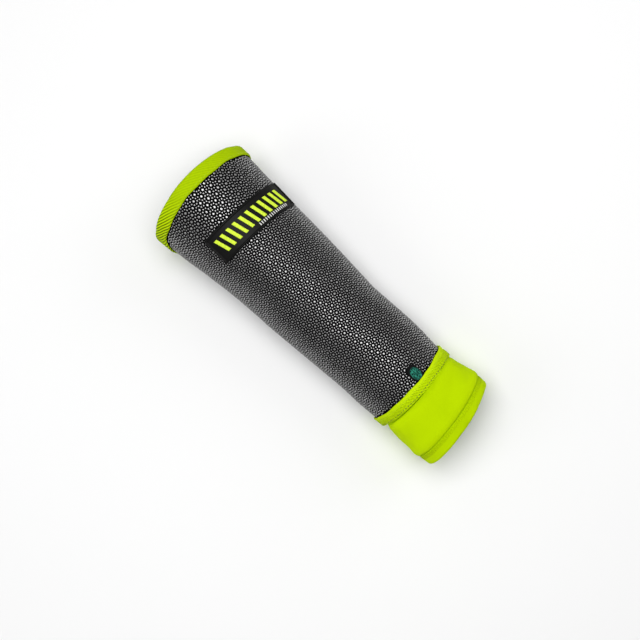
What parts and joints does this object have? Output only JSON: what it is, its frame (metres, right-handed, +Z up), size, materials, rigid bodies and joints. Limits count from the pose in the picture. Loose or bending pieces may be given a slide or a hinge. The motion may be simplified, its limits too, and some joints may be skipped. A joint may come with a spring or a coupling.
{
  "type": "forearm guard sleeve",
  "caption": "Cut-resistant forearm sleeve lying on its side: tapered plated guard fabric with bound edges, a soft flared cuff, a raised rubber patch and a small woven tab.",
  "frame": {"origin": "on the flat underside of the fabric tube, at the middle of the fabric tube's length and of its elbow end's width", "axes": "+X along the sleeve from the elbow end to the cuff, +Z up from the surface it lies on, +Y to its left side when looking along +X"},
  "size_m": [0.2574, 0.0884, 0.0755],
  "materials": {
    "guard_fabric": "matte black cloth set with small glossy grey plates",
    "hi_vis_tape": "matte folded hi-vis tape",
    "hi_vis_knit": "soft hi-vis knit",
    "patch_rubber": "satin black rubber with raised hi-vis bars",
    "woven_ribbon": "woven black and teal ribbon"
  },
  "bodies": {
    "root": {"sleeve_body": "guard_fabric", "elbow_binding": "hi_vis_tape", "wrist_binding": "hi_vis_tape", "knit_cuff": "hi_vis_knit", "cuff_hem": "hi_vis_knit", "label_patch": "patch_rubber", "side_tab": "woven_ribbon"}
  },
  "joints": []
}
